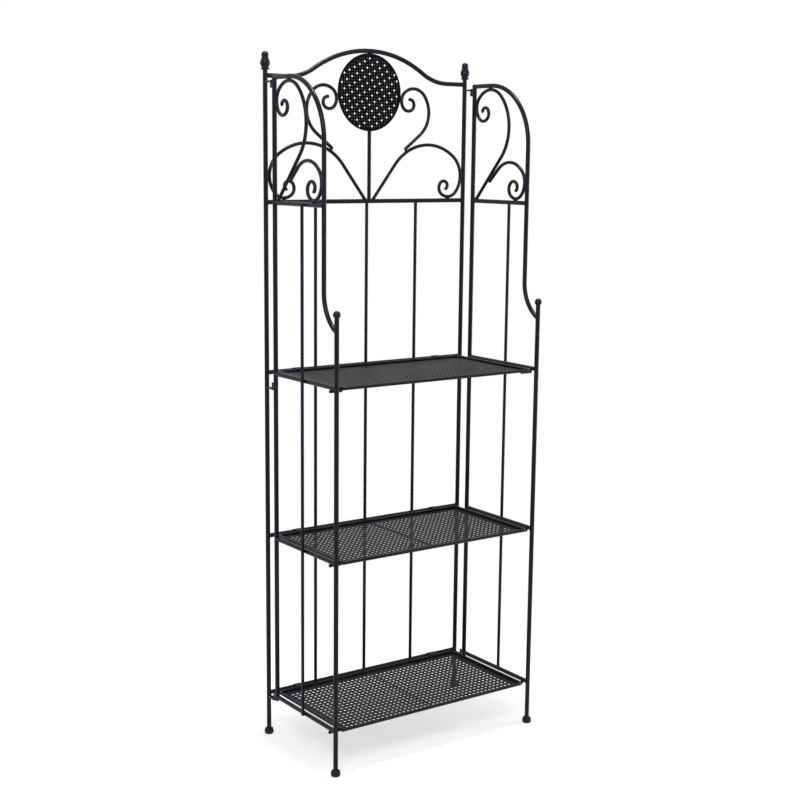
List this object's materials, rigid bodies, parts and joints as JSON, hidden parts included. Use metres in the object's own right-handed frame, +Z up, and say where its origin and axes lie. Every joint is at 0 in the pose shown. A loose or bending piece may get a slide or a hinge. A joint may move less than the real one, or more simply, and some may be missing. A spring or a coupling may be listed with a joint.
{
  "type": "bakers rack",
  "caption": "Tall folding bakers rack of black painted steel rod, with perforated drop shelves, swing-out side frames and an arched scrollwork crest around a pierced disc.",
  "frame": {"origin": "on the floor, in the middle of the four feet", "axes": "+Z up, +X to the right seen from the front, +Y to the back"},
  "size_m": [0.627, 0.3419, 1.7295],
  "materials": {
    "frame_paint": "satin",
    "shelf_paint": "satin"
  },
  "bodies": {
    "back_frame": {"arched_top_rail": "frame_paint", "bottom_back_rail": "frame_paint", "crest_disc": "frame_paint", "crest_rail": "frame_paint", "crest_stem": "frame_paint", "finials": "frame_paint", "hinge_eyes": "frame_paint", "left_back_rod": "frame_paint", "left_rear_post": "frame_paint", "lower_scrolls": "frame_paint", "middle_back_rail": "frame_paint", "middle_back_rod": "frame_paint", "rear_feet": "frame_paint", "right_back_rod": "frame_paint", "right_rear_post": "frame_paint", "top_back_rail": "frame_paint", "upper_scrolls": "frame_paint"},
    "left_side": {"left_arch_tube": "frame_paint", "left_bottom_side_rail": "frame_paint", "left_front_leg": "frame_paint", "left_hinge_pins": "frame_paint", "left_leg_caps": "frame_paint", "left_mid_rod": "frame_paint", "left_middle_side_rail": "frame_paint", "left_rest_lugs": "frame_paint", "left_side_crest_rail": "frame_paint", "left_side_scrolls": "frame_paint", "left_top_side_rail": "frame_paint", "left_upright": "frame_paint"},
    "right_side": {"right_arch_tube": "frame_paint", "right_bottom_side_rail": "frame_paint", "right_front_leg": "frame_paint", "right_hinge_pins": "frame_paint", "right_leg_caps": "frame_paint", "right_mid_rod": "frame_paint", "right_middle_side_rail": "frame_paint", "right_rest_lugs": "frame_paint", "right_side_crest_rail": "frame_paint", "right_side_scrolls": "frame_paint", "right_top_side_rail": "frame_paint", "right_upright": "frame_paint"},
    "bottom_shelf": {"bottom_hinge_straps": "shelf_paint", "bottom_shelf_rib": "shelf_paint", "bottom_shelf_rim": "shelf_paint", "bottom_shelf_sheet": "shelf_paint"},
    "middle_shelf": {"middle_hinge_straps": "shelf_paint", "middle_shelf_rib": "shelf_paint", "middle_shelf_rim": "shelf_paint", "middle_shelf_sheet": "shelf_paint"},
    "top_shelf": {"top_hinge_straps": "shelf_paint", "top_shelf_rib": "shelf_paint", "top_shelf_rim": "shelf_paint", "top_shelf_sheet": "shelf_paint"}
  },
  "joints": [
    {"name": "left_side_fold", "type": "hinge", "parent": "back_frame", "child": "left_side", "pos_m": [-0.3, 0.128, 0], "axis": [0, 0, -1], "range_deg": [0, 90]},
    {"name": "right_side_fold", "type": "hinge", "parent": "back_frame", "child": "right_side", "pos_m": [0.3, 0.128, 0], "axis": [0, 0, 1], "range_deg": [0, 90]},
    {"name": "bottom_shelf_fold", "type": "hinge", "parent": "back_frame", "child": "bottom_shelf", "pos_m": [0, 0.158, 0.11], "axis": [-1, 0, 0], "range_deg": [0, 90]},
    {"name": "middle_shelf_fold", "type": "hinge", "parent": "back_frame", "child": "middle_shelf", "pos_m": [0, 0.158, 0.525], "axis": [-1, 0, 0], "range_deg": [0, 90]},
    {"name": "top_shelf_fold", "type": "hinge", "parent": "back_frame", "child": "top_shelf", "pos_m": [0, 0.158, 0.94], "axis": [-1, 0, 0], "range_deg": [0, 90]}
  ]
}
